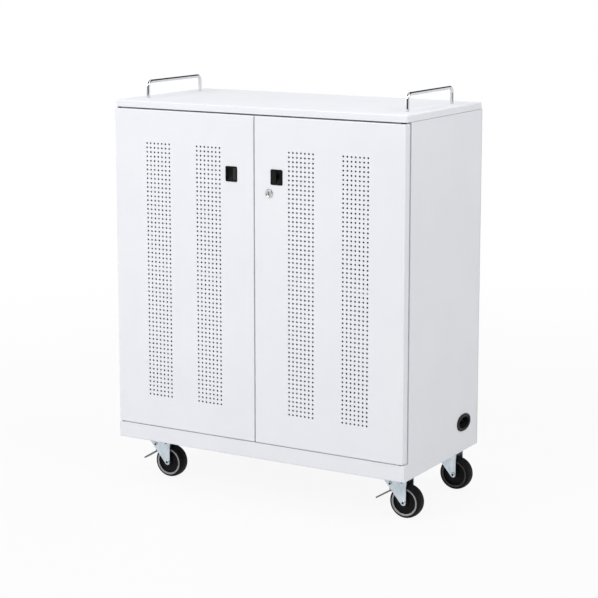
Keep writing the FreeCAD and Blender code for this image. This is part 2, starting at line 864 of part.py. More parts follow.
def fork(braked):
    """Bent-sheet fork: its legs taper from the crown down to the axle, behind the swivel axis."""
    half = fork_gap / 2 + fork_sheet
    front = -fork_reach_back
    back = wheel_trail + fork_end_radius
    strap = folded_sheet(
        [
            Vector(front, half, 0),
            Vector(front, half, fork_top),
            Vector(front, -half, fork_top),
            Vector(front, -half, 0),
        ],
        fork_sheet, fork_bend, across * (back - front),
    )
    crown_front = Vector(front, -half - overrun, fork_top)
    crown_back = Vector(back, -half - overrun, fork_top)
    centre = Vector(wheel_trail, -half - overrun, wheel_radius)
    to_crown = crown_front - centre
    tangent = math.atan2(to_crown.z, to_crown.x) + math.acos(fork_end_radius / to_crown.Length)
    half_way = (tangent + 2 * math.pi) / 2
    end_points = [
        centre + Vector(math.cos(a), 0, math.sin(a)) * fork_end_radius
        for a in (2 * math.pi, half_way, tangent)
    ]
    outline = Part.Wire([
        Part.LineSegment(crown_front, crown_back).toShape(),
        Part.LineSegment(crown_back, end_points[0]).toShape(),
        Part.Arc(*end_points).toShape(),
        Part.LineSegment(end_points[2], crown_front).toShape(),
    ])
    legs = strap.common(Part.Face(outline).extrude(inwards * (2 * half + 2 * overrun)))
    race_top = plate_underside - race_height - touch_gap
    race = rod(fork_race_radius, upwards * fork_top, upwards * race_top)
    crown_low = upwards * (fork_top - fork_sheet - overrun)
    holes = [rod(kingpin_radius + running_clearance, crown_low, upwards * (race_top + overrun))]
    side = inwards * (half + overrun)
    holes.append(rod(axle_radius + running_clearance, wheel_centre - side, wheel_centre + side))
    small = Vector(back - fork_hole_inset, 0, fork_top - fork_hole_drop)
    holes.append(rod(fork_hole_radius, small - side, small + side))
    if braked:
        holes.append(rod(brake_pin_radius + running_clearance, brake_pin - side, brake_pin + side))
    return legs.fuse(race).cut(holes)


def headed_pin(radius, centre, head_radius, head_height):
    """Pin across both legs of the fork, with a riveted head at each end."""
    seat = inwards * axle_half_length
    head = inwards * (axle_half_length + head_height)
    pin = rod(radius, centre - head, centre + head)
    heads = [rod(head_radius, centre + seat * s, centre + head * s) for s in (-1, 1)]
    return pin.fuse(heads).removeSplitter()


def wheel_hub():
    """Rim, web and boss turned as one, bored for the axle."""
    boss_half = fork_gap / 2 - touch_gap
    rim_half = rim_width / 2
    web_half = web_thickness / 2
    rim_inside = rim_radius - rim_wall
    bore = axle_radius + running_clearance
    half_outline = [
        (bore, boss_half), (hub_boss_radius, boss_half), (hub_boss_radius, web_half),
        (rim_inside, web_half), (rim_inside, rim_half), (rim_radius, rim_half),
    ]
    outline = half_outline + [(r, -y) for r, y in reversed(half_outline)]
    points = [wheel_centre + Vector(r, y, 0) for r, y in outline]
    face = Part.Face(Part.makePolygon(points + points[:1]))
    return face.revolve(wheel_centre, inwards, 360)


def tyre():
    half = tyre_width / 2
    start = wheel_centre - inwards * half
    end = wheel_centre + inwards * half
    tread = rod(wheel_radius, start, end)
    shoulders = [e for e in tread.Edges if len(e.Vertexes) == 1]
    tread = tread.makeFillet(tyre_round, shoulders)
    return tread.cut(rod(rim_radius, start - inwards * overrun, end + inwards * overrun))


def on_wheel(radius, angle):
    turn = math.radians(angle)
    return wheel_centre + Vector(math.cos(turn), 0, math.sin(turn)) * radius


def brake_pedal():
    """Foot plate, brake shoe and two ears on the brake pin, pressed down on the tyre at rest."""
    shift = inwards * (-pedal_width / 2)
    inner = wheel_radius + shoe_gap
    outer = inner + shoe_thickness
    angles = (shoe_start_angle, (shoe_start_angle + shoe_end_angle) / 2, shoe_end_angle)
    inside = [on_wheel(inner, a) for a in angles]
    outside = [on_wheel(outer, a) for a in angles]
    shoe_outline = Part.Wire([
        Part.Arc(*inside).toShape(),
        Part.LineSegment(inside[2], outside[2]).toShape(),
        Part.Arc(*reversed(outside)).toShape(),
        Part.LineSegment(outside[0], inside[0]).toShape(),
    ])
    shoe = Part.Face(shoe_outline).extrude(inwards * pedal_width)
    tip = Vector(-pedal_reach, 0, pedal_tip_height)
    slope = unit(tip - inside[1])
    above = slope.cross(inwards)
    root = (inside[1] + outside[1]) / 2
    corners = [root, tip, tip + above * pedal_sheet, root + above * pedal_sheet]
    plate = Part.Face(Part.makePolygon(corners + corners[:1])).extrude(inwards * pedal_width)
    far_end = [
        e for e in plate.Edges
        if e.Length < pedal_sheet + running_clearance and e.CenterOfMass.x < tip.x + pedal_sheet
    ]
    plate = plate.makeFillet(pedal_round, far_end)
    ear_width = across * pedal_ear_radius
    ear_outline = [brake_pin - ear_width, outside[2], inside[2], inside[0], brake_pin + ear_width]
    web = Part.Face(Part.makePolygon(ear_outline + ear_outline[:1])).extrude(inwards * pedal_sheet)
    knuckle = rod(pedal_ear_radius, brake_pin, brake_pin + inwards * pedal_sheet)
    ear = web.fuse(knuckle)
    far_ear = ear.copy()
    far_ear.translate(inwards * (pedal_width - pedal_sheet))
    pedal = shoe.fuse([plate, ear, far_ear])
    room_end = wheel_centre + inwards * (pedal_width + overrun)
    tyre_room = rod(inner, wheel_centre - inwards * overrun, room_end)
    hole_end = brake_pin + inwards * (pedal_width + overrun)
    hole = rod(brake_pin_radius + running_clearance, brake_pin - inwards * overrun, hole_end)
    pedal = pedal.cut([hole, tyre_room]).removeSplitter()
    pedal.translate(shift)
    return pedal


def caster(place, braked):
    """Every piece of one caster, by the last word of its name."""
    pieces = {
        "caster_plate": caster_plate(),
        "fork": fork(braked),
        "axle": headed_pin(axle_radius, wheel_centre, axle_head_radius, axle_head_height),
        "hub": wheel_hub(),
        "tyre": tyre(),
    }
    if braked:
        pieces["brake_pin"] = headed_pin(
            brake_pin_radius, brake_pin, brake_pin_head_radius, brake_pin_head_height
        )
        pieces["brake_pedal"] = brake_pedal()
    for piece in pieces.values():
        piece.translate(place)
    return pieces


def carcass():
    right_side = side_panel()
    return {
        "left_side_panel": mirrored(right_side),
        "right_side_panel": right_side.cut(outlet_cutout()),
        "back_panel": back_panel(),
        "base_pan": base_pan(),
        "top_panel": top_panel(),
        "top_rail": top_rail(),
        "centre_post": centre_post(),
        "middle_shelf": middle_shelf(),
        "shelf_rails": shelf_rails(),
        "lower_dividers": dividers(floor_z),
        "upper_dividers": dividers(shelf_z),
        "caster_rails": caster_rails(),
        "caster_bolts": caster_bolts(),
        "cable_outlet": cable_outlet(),
        "left_push_handle": mirrored(push_handle()),
        "right_push_handle": push_handle(),
        "handle_screws": handle_screws(),
        "hinge_bushes": hinge_bushes(),
        "door_catches": door_catches(),
    }


def doors():
    fittings = {
        "door_stiffener": door_stiffener(),
        "pull": door_pull(),
        "hinge_pins": hinge_pins(),
        "catch_plate": catch_plate(),
    }
    cutouts = [pull_cutout()] + hinge_pin_holes()
    named = {"left_" + name: mirrored(shape) for name, shape in fittings.items()}
    named.update({"right_" + name: shape for name, shape in fittings.items()})
    named["left_door_panel"] = door_panel(-1, [mirrored(cut) for cut in cutouts])
    named["right_door_panel"] = door_panel(1, cutouts + [lock_hole()])
    return named


def lock():
    return {
        "lock_housing": lock_housing(),
        "lock_nut": lock_nut(),
        "lock_plug": lock_plug(),
        "lock_cam": lock_cam(),
        "cam_screw": cam_screw(),
    }


def casters():
    named = {}
    for corner, place in caster_places().items():
        for name, shape in caster(place, corner.startswith("front")).items():
            named[corner + "_" + name] = shape
    return named


os.makedirs("parts", exist_ok=True)
for group in (carcass(), doors(), lock(), casters()):
    for node, solid in group.items():
        solid.exportStep("parts/" + node + ".step")
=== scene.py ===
import bmesh
import bpy
import math
import numpy as np
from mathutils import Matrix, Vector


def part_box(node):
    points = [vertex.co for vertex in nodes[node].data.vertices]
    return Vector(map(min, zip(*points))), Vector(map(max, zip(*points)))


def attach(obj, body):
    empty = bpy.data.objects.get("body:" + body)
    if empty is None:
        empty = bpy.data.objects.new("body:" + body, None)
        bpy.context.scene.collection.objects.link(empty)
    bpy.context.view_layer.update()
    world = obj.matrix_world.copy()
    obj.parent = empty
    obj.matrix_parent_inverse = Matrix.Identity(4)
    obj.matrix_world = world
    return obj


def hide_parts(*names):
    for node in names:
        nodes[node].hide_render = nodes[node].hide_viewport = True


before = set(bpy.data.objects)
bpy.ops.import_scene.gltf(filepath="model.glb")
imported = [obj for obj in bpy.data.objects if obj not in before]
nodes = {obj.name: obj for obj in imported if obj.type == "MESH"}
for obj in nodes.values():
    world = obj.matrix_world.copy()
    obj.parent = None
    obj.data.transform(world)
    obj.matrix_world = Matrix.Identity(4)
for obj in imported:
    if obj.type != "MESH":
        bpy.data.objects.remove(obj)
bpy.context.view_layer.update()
scene = bpy.context.scene
mm = 0.001
corners = ("front_left", "front_right", "rear_left", "rear_right")
sides = {"left": -1, "right": 1}  # the sides of the doors and handles, each with its sign along X

print("stage 1: camera, floor and lamps")

view = {"place": (2.1058, -3.5643, 1.2559), "yaw": 30.513, "dip": 9.557, "lens": 110.808, "sensor": 36.0,
        "shiftY": -0.0903}
cameraData = bpy.data.cameras.new("camera")
cameraData.lens = view["lens"]
cameraData.sensor_width = view["sensor"]
cameraData.shift_y = view["shiftY"]
camera = bpy.data.objects.new("camera", cameraData)
camera.location = view["place"]
camera.rotation_euler = (math.radians(90 - view["dip"]), 0, math.radians(view["yaw"]))
scene.collection.objects.link(camera)
scene.camera = camera
scene.view_settings.view_transform = "Standard"


def freshTree(owner):  # the emptied node tree of a world or material
    owner.use_nodes = True
    owner.node_tree.nodes.clear()
    return owner.node_tree


def addNode(tree, kind, settings=None, **values):
    node = tree.nodes.new(kind)
    for key, value in (settings or {}).items():
        setattr(node, key, value)
    for key, value in values.items():
        node.inputs[key.replace("_", " ")].default_value = value
    return node


def combined(tree, operation, one, two):  # the product or the larger of two values
    node = addNode(tree, "ShaderNodeMath", {"operation": operation})
    tree.links.new(one, node.inputs[0])
    tree.links.new(two, node.inputs[1])
    return node.outputs[0]


def vectorMath(tree, operation, vector, other=None):
    node = addNode(tree, "ShaderNodeVectorMath", {"operation": operation})
    tree.links.new(vector, node.inputs[0])
    if other is not None:
        node.inputs[1].default_value = other
    return node


def rayKinds(tree, names):  # 1 for a ray of any of the named kinds
    rays = addNode(tree, "ShaderNodeLightPath")
    found = rays.outputs[names[0]]
    for name in names[1:]:
        found = combined(tree, "MAXIMUM", found, rays.outputs[name])
    return found


def ease(tree, value, start, end, low, high):  # low up to start, high from end on, a smooth step between
    ramp = addNode(tree, "ShaderNodeMapRange", {"interpolation_type": "SMOOTHSTEP"}, From_Min=start, From_Max=end,
                   To_Min=low, To_Max=high)
    tree.links.new(value, ramp.inputs["Value"])
    return ramp.outputs[0]


def mixed(tree, share, one, two):
    mix = addNode(tree, "ShaderNodeMixShader")
    tree.links.new(share, mix.inputs[0])
    tree.links.new(one.outputs[0], mix.inputs[1])
    tree.links.new(two.outputs[0], mix.inputs[2])
    return mix


backdropRays = ("Is Camera Ray", "Is Glossy Ray", "Is Transmission Ray")
mirrorRays = ("Is Glossy Ray",)
plainWhite = (1, 1, 1, 1)
room = {"sky": 0.43, "skyColour": (0.97, 0.985, 1.0, 1), "dimColour": (0.035, 0.036, 0.040, 1),
        "wallTop": 0.06, "ceilingEdge": 0.40,  # heights are the sine of the angle above the horizon
        "doorway": (0.38, -0.925, 0.0), "doorwayEdge": 0.60, "doorwayInside": 0.85}  # cosines off the doorway's middle


def doorwayShare(tree, bearing):  # 1 well inside the doorway, 0 outside it
    cosine = vectorMath(tree, "DOT_PRODUCT", bearing, room["doorway"]).outputs["Value"]
    return ease(tree, cosine, room["doorwayEdge"], room["doorwayInside"], 0, 1)


world = bpy.data.worlds.new("room")
scene.world = world
tree = freshTree(world)
soft = addNode(tree, "ShaderNodeBackground", Color=room["skyColour"], Strength=room["sky"])
white = addNode(tree, "ShaderNodeBackground", Color=plainWhite, Strength=1.0)
dim = addNode(tree, "ShaderNodeBackground", Color=room["dimColour"], Strength=1.0)
bearing = addNode(tree, "ShaderNodeTexCoord").outputs["Generated"]
parts = addNode(tree, "ShaderNodeSeparateXYZ")
out = addNode(tree, "ShaderNodeOutputWorld")
tree.links.new(bearing, parts.inputs[0])
ceiling = ease(tree, parts.outputs["Z"], room["wallTop"], room["ceilingEdge"], 0, 1)
dark = combined(tree, "MAXIMUM", ceiling, doorwayShare(tree, bearing))
mirrored = combined(tree, "MULTIPLY", dark, rayKinds(tree, mirrorRays))  # the dim parts show only in reflections
backdrop = mixed(tree, mirrored, white, dim)
tree.links.new(mixed(tree, rayKinds(tree, backdropRays), soft, backdrop).outputs[0], out.inputs[0])

floorMake = {"radius": 16.0, "rings": 24, "segments": 64, "colour": (0.60, 0.60, 0.60, 1), "nearWhite": 0.91,
             "fadeStart": 0.6, "fadeEnd": 3.0, "dimStart": 4.5, "dimEnd": 6.5}
floorLook = bpy.data.materials.new("floorLook")
tree = freshTree(floorLook)
matt = addNode(tree, "ShaderNodeBsdfDiffuse", Color=floorMake["colour"])
glow = addNode(tree, "ShaderNodeEmission", Color=plainWhite, Strength=1.0)
gloom = addNode(tree, "ShaderNodeEmission", Color=room["dimColour"], Strength=1.0)
spot = addNode(tree, "ShaderNodeTexCoord").outputs["Object"]
out = addNode(tree, "ShaderNodeOutputMaterial")
away = vectorMath(tree, "LENGTH", spot).outputs["Value"]
whiteShare = ease(tree, away, floorMake["fadeStart"], floorMake["fadeEnd"], floorMake["nearWhite"], 1)
shown = combined(tree, "MULTIPLY", whiteShare, rayKinds(tree, backdropRays))  # the rest is matt and takes the shadow
# far off in the doorway the floor is as dim as the doorway, in reflections alone
beyond = ease(tree, away, floorMake["dimStart"], floorMake["dimEnd"], 0, 1)
within = doorwayShare(tree, vectorMath(tree, "NORMALIZE", spot).outputs["Vector"])
dimmed = combined(tree, "MULTIPLY", combined(tree, "MULTIPLY", within, beyond), rayKinds(tree, mirrorRays))
lit = mixed(tree, dimmed, glow, gloom)
tree.links.new(mixed(tree, shown, matt, lit).outputs[0], out.inputs[0])

lamps = {
    "key": {"place": (-1.0, -3.4, 2.9), "size": 2.4, "watts": 110.5},
    "fill": {"place": (2.7, -0.3, 2.7), "size": 1.8, "watts": 49.5},
    "rear": {"place": (-3.6, 1.6, 1.6), "size": 2.0, "watts": 55.0},
    "above": {"place": (0.0, 0.4, 3.3), "size": 1.6, "watts": 13.5},
}
lampTarget = np.array((0, 0, 0.45))
for name, lamp in lamps.items():
    lampData = bpy.data.lights.new(name, "AREA")
    lampData.size = lamp["size"]
    lampData.energy = lamp["watts"]
    lampObject = bpy.data.objects.new(name, lampData)
    lampObject.location = lamp["place"]
    aim = lampTarget - lamp["place"]
    lampObject.rotation_euler = (math.atan2(np.hypot(aim[0], aim[1]), -aim[2]), 0, math.atan2(-aim[0], aim[1]))
    scene.collection.objects.link(lampObject)

print("stage 2: finishes")

noiseRange = (0.3, 0.7)  # most of a noise lies between these
evenly = (1, 1, 1)


def noise(tree, place, size, detail=3.0, rough=0.55, stretch=evenly):  # size is a grain's width in metres
    mapping = addNode(tree, "ShaderNodeMapping", Scale=stretch)
    grain = addNode(tree, "ShaderNodeTexNoise", Scale=1.0 / size, Detail=detail, Roughness=rough)
    tree.links.new(place, mapping.inputs["Vector"])
    tree.links.new(mapping.outputs[0], grain.inputs["Vector"])
    return grain.outputs["Fac"]


def spread(tree, value, low, high):  # a noise becomes low to high
    ramp = addNode(tree, "ShaderNodeMapRange", From_Min=noiseRange[0], From_Max=noiseRange[1], To_Min=low, To_Max=high)
    tree.links.new(value, ramp.inputs["Value"])
    return ramp.outputs[0]


def tint(tree, value, dark, light):  # a noise becomes one colour to the other
    ramp = addNode(tree, "ShaderNodeValToRGB")
    for stop, position, colour in zip(ramp.color_ramp.elements, noiseRange, (dark, light)):
        stop.position = position
        stop.color = (*colour, 1)
    tree.links.new(value, ramp.inputs[0])
    return ramp.outputs[0]


def relief(tree, value, shader, strength, distance):
    bump = addNode(tree, "ShaderNodeBump", Strength=strength, Distance=distance)
    tree.links.new(value, bump.inputs["Height"])
    tree.links.new(bump.outputs[0], shader.inputs["Normal"])


def makeFinish(name, spec):
    # patch, smear and grain are the widths of the noises in colour, roughness and bump
    look = bpy.data.materials.new(name)
    tree = freshTree(look)
    shader = addNode(tree, "ShaderNodeBsdfPrincipled")
    out = addNode(tree, "ShaderNodeOutputMaterial")
    place = addNode(tree, "ShaderNodeTexCoord").outputs["Object"]
    tree.links.new(shader.outputs[0], out.inputs[0])
    shader.inputs["Metallic"].default_value = spec.get("metal", 0.0)
    shader.inputs["Specular IOR Level"].default_value = spec.get("specular", 0.5)
    stretch = spec.get("stretch", evenly)
    patches = noise(tree, place, spec["patch"], stretch=stretch)
    tree.links.new(tint(tree, patches, spec["dark"], spec["light"]), shader.inputs["Base Color"])
    smears = noise(tree, place, spec["smear"], stretch=stretch)
    tree.links.new(spread(tree, smears, *spec["rough"]), shader.inputs["Roughness"])
    relief(tree, noise(tree, place, spec["grain"], detail=2.0), shader, spec["bump"], spec["depth"])
    return look


finishes = {
    # powder coat: nearly even white with the fine orange peel of a sprayed sheet
    "white_paint": {"dark": (0.798, 0.806, 0.840), "light": (0.826, 0.832, 0.862), "patch": 0.20,
                    "rough": (0.38, 0.50), "smear": 0.03, "grain": 0.0016, "bump": 0.10, "depth": 0.0004,
                    "specular": 0.20},
    "chrome": {"dark": (0.62, 0.63, 0.65), "light": (0.71, 0.72, 0.73), "patch": 0.02,
               "rough": (0.03, 0.09), "smear": 0.008, "grain": 0.004, "bump": 0.02, "depth": 0.0003, "metal": 1.0},
    # blue-white zinc plate: cloudy, faintly drawn along the sheet
    "zinc": {"dark": (0.505, 0.570, 0.620), "light": (0.665, 0.735, 0.785), "patch": 0.012,
             "rough": (0.26, 0.44), "smear": 0.004, "grain": 0.0008, "bump": 0.10, "depth": 0.0002,
             "metal": 1.0, "stretch": (1, 1, 0.45)},
    "brass_plug": {"dark": (0.44, 0.44, 0.44), "light": (0.58, 0.58, 0.57), "patch": 0.004,
                   "rough": (0.18, 0.30), "smear": 0.002, "grain": 0.0006, "bump": 0.05, "depth": 0.0001,
                   "metal": 1.0},
    "black_plastic": {"dark": (0.004, 0.004, 0.0045), "light": (0.008, 0.008, 0.009), "patch": 0.01,
                      "rough": (0.42, 0.56), "smear": 0.004, "grain": 0.0005, "bump": 0.25, "depth": 0.0001,
                      "specular": 0.10},
    "outlet_rubber": {"dark": (0.008, 0.008, 0.009), "light": (0.016, 0.016, 0.018), "patch": 0.010,
                      "rough": (0.45, 0.60), "smear": 0.004, "grain": 0.0006, "bump": 0.25, "depth": 0.0001,
                      "specular": 0.15},
    "pull_lip": {"dark": (0.005, 0.005, 0.0055), "light": (0.010, 0.010, 0.011), "patch": 0.008,
                 "rough": (0.14, 0.24), "smear": 0.004, "grain": 0.0005, "bump": 0.08, "depth": 0.0001,
                 "specular": 0.28},
    "wheel_centre": {"dark": (0.004, 0.004, 0.0045), "light": (0.009, 0.009, 0.010), "patch": 0.012,
                     "rough": (0.40, 0.55), "smear": 0.005, "grain": 0.0007, "bump": 0.15, "depth": 0.0001,
                     "specular": 0.10},
    "rim_grey": {"dark": (0.27, 0.27, 0.285), "light": (0.37, 0.37, 0.385), "patch": 0.008,
                 "rough": (0.35, 0.50), "smear": 0.004, "grain": 0.0006, "bump": 0.10, "depth": 0.0001},
    # the rear wheels' rings: the front rings' grey painted near black, as painted shade
    "rim_painted_shade": {"dark": (0.040, 0.040, 0.043), "light": (0.065, 0.065, 0.070), "patch": 0.008,
                 "rough": (0.35, 0.50), "smear": 0.004, "grain": 0.0006, "bump": 0.10, "depth": 0.0001,
                 "specular": 0.30},
    "tyre": {"dark": (0.004, 0.004, 0.0045), "light": (0.010, 0.010, 0.011), "patch": 0.015,
             "rough": (0.52, 0.70), "smear": 0.006, "grain": 0.0006, "bump": 0.25, "depth": 0.00015,
             "specular": 0.10},
    "nylon": {"dark": (0.030, 0.030, 0.032), "light": (0.050, 0.050, 0.052), "patch": 0.008,
              "rough": (0.40, 0.52), "smear": 0.003, "grain": 0.0006, "bump": 0.10, "depth": 0.0001,
              "specular": 0.30},
    "magnet": {"dark": (0.030, 0.030, 0.032), "light": (0.060, 0.060, 0.062), "patch": 0.006,
               "rough": (0.45, 0.60), "smear": 0.003, "grain": 0.0005, "bump": 0.15, "depth": 0.0001},
    # the dividers are painted near black: painted shade for the dim inside seen through the doors' holes
    "divider_grey": {"dark": (0.030, 0.031, 0.033), "light": (0.042, 0.043, 0.046), "patch": 0.05,
                     "rough": (0.45, 0.60), "smear": 0.02, "grain": 0.0012, "bump": 0.12, "depth": 0.0003,
                     "specular": 0.30},
    "pedal_steel": {"dark": (0.10, 0.105, 0.11), "light": (0.17, 0.175, 0.18), "patch": 0.010,
                    "rough": (0.34, 0.50), "smear": 0.004, "grain": 0.0007, "bump": 0.12, "depth": 0.0002,
                    "metal": 0.7},
}
looks = {name: makeFinish(name + "Finish", spec) for name, spec in finishes.items()}

# a solid takes the finish of its slot, apart from these
nodeLooks = {"front_left_brake_pedal": "pedal_steel", "front_right_brake_pedal": "pedal_steel"}
for name, node in nodes.items():
    for slot in node.material_slots:
        wanted = nodeLooks.get(name, slot.material.name.split(".")[0])
        if wanted in looks:
            slot.material = looks[wanted]

print("stage 3: surfaces")


def gridFaces(points, wrapRows, wrapCols):  # one quad for each cell; a wrapped way joins its last line to its first
    rows, cols = points.shape[:2]
    index = np.arange(rows * cols).reshape(rows, cols)
    near = index if wrapRows else index[:-1]
    far = np.roll(index, -1, 0) if wrapRows else index[1:]
    if not wrapCols:
        return np.stack([near[:, :-1], far[:, :-1], far[:, 1:], near[:, 1:]], -1).reshape(-1, 4)
    return np.stack([near, far, np.roll(far, -1, 1), np.roll(near, -1, 1)], -1).reshape(-1, 4)


def floorDisc(f):  # radius grows with the square of the ring's number, and each ring turns once round the middle
    out = f["radius"] * np.linspace(0, 1, f["rings"])[:, None] ** 2
    turn = np.linspace(0, 2 * math.pi, f["segments"], endpoint=False)
    return np.stack([out * np.cos(turn), out * np.sin(turn), np.zeros_like(out * turn)], -1)


disc = floorDisc(floorMake)
floorMesh = bpy.data.meshes.new("floor")
floorMesh.from_pydata(disc.reshape(-1, 3), [], gridFaces(disc, False, True))
floorMesh.materials.append(floorLook)
floor = bpy.data.objects.new("floor", floorMesh)
scene.collection.objects.link(floor)

# sharp is in degrees, weld and sliver are in metres, and repeat is in millimetres
meshMake = {"sharp": 38, "weld": 1e-6, "sliver": 1e-7, "repeat": 1e-6}


def makePiece(name, grids, body, slotName, look=None, replaced=()):
    # grids is a list of (points in millimetres, wrapRows, wrapCols); doubled points at poles and seams are merged
    start, places, faces = 0, [], []
    for points, wrapRows, wrapCols in grids:
        faces.append(gridFaces(points, wrapRows, wrapCols) + start)
        places.append(points.reshape(-1, 3) * mm)
        start += len(places[-1])
    mesh = bpy.data.meshes.new(name)
    mesh.from_pydata(np.concatenate(places), [], np.concatenate(faces))
    work = bmesh.new()
    work.from_mesh(mesh)
    bmesh.ops.remove_doubles(work, verts=work.verts, dist=meshMake["weld"])
    bmesh.ops.dissolve_degenerate(work, edges=work.edges, dist=meshMake["sliver"])
    bmesh.ops.recalc_face_normals(work, faces=work.faces)
    work.to_mesh(mesh)
    work.free()
    mesh.shade_smooth()
    mesh.set_sharp_from_angle(angle=math.radians(meshMake["sharp"]))
    mesh.materials.append(looks[look or slotName])
    piece = bpy.data.objects.new(name, mesh)
    scene.collection.objects.link(piece)
    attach(piece, body)
    if replaced:
        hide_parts(*replaced)


def nodeBox(node):  # the two far corners of a solid's box, in millimetres
    return [np.array(corner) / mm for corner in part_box(node)]


def roundCorners(points, radii, steps=6):
    # every corner gives way to an arc of its radius, tangent to both runs: the two radii at the arc's ends are
    # blended by angle
    p = np.asarray(points, float)
    before = np.roll(p, 1, 0) - p
    after = np.roll(p, -1, 0) - p
    before /= np.linalg.norm(before, axis=1, keepdims=True)
    after /= np.linalg.norm(after, axis=1, keepdims=True)
    half = np.arccos(np.clip((before * after).sum(1), -1, 1))[:, None] / 2
    radius = np.asarray(radii, float)[:, None]
    middle = before + after
    middle /= np.linalg.norm(middle, axis=1, keepdims=True)
    centre = p + middle * radius / np.sin(half)
    first = p + before * radius / np.tan(half) - centre
    last = p + after * radius / np.tan(half) - centre
    turn = math.pi - 2 * half
    t = np.linspace(0, 1, steps)
    one = (np.sin((1 - t) * turn) / np.sin(turn))[..., None]
    two = (np.sin(t * turn) / np.sin(turn))[..., None]
    return (centre[:, None] + one * first[:, None] + two * last[:, None]).reshape(-1, p.shape[1])


def dropRepeats(points):  # leaves out each point that lies on the one before it
    keep = np.r_[True, np.linalg.norm(np.diff(points, axis=0), axis=1) > meshMake["repeat"]]
    return points[keep]


def lathe(profile, centre, segments):
    # the profile's (radius, height) pairs turn about the Y axis: centre + (radius cos, height, -radius sin)
    turn = np.linspace(0, 2 * math.pi, segments, endpoint=False)[:, None]
    radius, height = profile.T
    x, z = radius * np.cos(turn), -radius * np.sin(turn)
    return np.asarray(centre) + np.stack([x, np.broadcast_to(height, x.shape), z], -1)


def tube(path, radius, across, sides):
    # a circle carried square to the path; one axis of the circle stays on "across", the other is path heading x across
    heading = np.gradient(path, axis=0)
    heading /= np.linalg.norm(heading, axis=1, keepdims=True)
    across = np.asarray(across, float)
    normal = np.cross(heading, across)
    path = np.concatenate([path[:1], path, path[-1:]])  # both ends close on the path itself
    normal = np.concatenate([normal[:1], normal, normal[-1:]])
    size = np.full(len(path), radius)
    size[[0, -1]] = 0
    turn = np.linspace(0, 2 * math.pi, sides, endpoint=False)[:, None, None]
    return path + size[:, None] * (np.cos(turn) * normal + np.sin(turn) * across)


def roundedRings(halfWide, halfHigh, corner, depth, perCorner=8):
    # rings of a rounded oblong: corner centres moved in by the corner radius, plus that radius round a quarter turn
    quarter = np.linspace(0, math.pi / 2, perCorner)
    turn = (np.arange(4)[:, None] * math.pi / 2 + quarter).reshape(-1, 1)
    signWide = np.repeat((1, -1, -1, 1), perCorner)[:, None]
    signHigh = np.repeat((1, 1, -1, -1), perCorner)[:, None]
    wide = signWide * (halfWide - corner) + corner * np.cos(turn)
    high = signHigh * (halfHigh - corner) + corner * np.sin(turn)
    return np.stack([wide, np.broadcast_to(depth, wide.shape), high], -1)


def mirrorProfile(half):  # a (radius, height) outline and its reflection, as one closed line
    return np.concatenate([half, half[::-1] * (1, -1)])


wheelMake = {
    "radius": 37.5, "crown": 37.38, "half": 15.0, "seatRadius": 31.3, "seat": 13.3, "bore": 30.0, "squareness": 2.4,
    "partingClear": 0.6, "partingFoot": 0.45, "partingTop": 0.25, "crownSteps": 22, "segments": 112,
    # front rings take the plain grey; rear rings take a darker copy of it, painted shade
    "rims": {"front": "rim_grey", "rear": "rim_painted_shade"},
    # outlines are (radius, distance from the wheel's middle), and each corner has its round
    "hub": [(4.05, 0), (4.05, 16.7), (9.6, 16.7), (10.4, 10.2), (16.5, 9.7), (16.9, 9.0), (22.6, 8.6), (23.0, 9.2),
            (25.4, 9.4), (26.9, 13.3), (29.95, 13.3), (29.95, 0)],
    "hubRounds": [0, 0.3, 0.9, 1.6, 0.3, 0.3, 0.3, 0.3, 0.9, 0.5, 0.1, 0], "hubSteps": 5,
    "ring": [(26.7, 13.0), (26.9, 14.2), (29.2, 14.85), (31.1, 14.4), (31.25, 13.2), (29.5, 12.8)],
    "ringRounds": [0.2, 0.9, 1.8, 0.7, 0.2, 0.1],
}


def tyreProfile(w):
    # half outline: bore, seat of the ring, then a superellipse quarter, across = half cos^(2/n) and out = seatRadius +
    # (crown - seatRadius) sin^(2/n), where n is the squareness; the mould's parting line stands proud at the middle
    turn = np.linspace(0, math.pi / 2, w["crownSteps"])[:-1]
    power = 2 / w["squareness"]
    out = w["seatRadius"] + (w["crown"] - w["seatRadius"]) * np.sin(turn) ** power
    crown = np.stack([out, w["half"] * np.cos(turn) ** power], -1)
    crown = crown[crown[:, 1] > w["partingClear"]]
    seat = [(w["bore"], 0), (w["bore"], w["seat"]), (w["seatRadius"], w["seat"])]
    line = [(w["crown"], w["partingFoot"]), (w["radius"], w["partingTop"]), (w["radius"], 0)]
    return mirrorProfile(np.concatenate([seat, crown, line]))


def hubProfile(w):  # bored boss, dished web with two shallow steps, cone up to the rim, rim under the tyre
    return mirrorProfile(dropRepeats(roundCorners(w["hub"], w["hubRounds"], w["hubSteps"])))


def ringProfile(w):  # the ring between hub and tyre: a low bead with a rounded top
    return roundCorners(w["ring"], w["ringRounds"])


def turned(profile, centre):  # a closed outline, once round the wheel's axle
    return lathe(profile, centre, wheelMake["segments"]), True, True


for corner in corners:
    low, high = nodeBox(corner + "_tyre")
    centre = (low + high) / 2
    wheel = corner + "_wheel"
    makePiece(corner + "_tyre_tread", [turned(tyreProfile(wheelMake), centre)], wheel, "tyre",
              replaced=[corner + "_tyre"])
    makePiece(corner + "_wheel_disc", [turned(hubProfile(wheelMake), centre)], wheel, "wheel_centre",
              replaced=[corner + "_hub"])
    ring = ringProfile(wheelMake)
    makePiece(corner + "_rim_ring", [turned(ring, centre), turned(ring * (1, -1), centre)], wheel, "wheel_centre",
              look=wheelMake["rims"][corner.split("_")[0]])

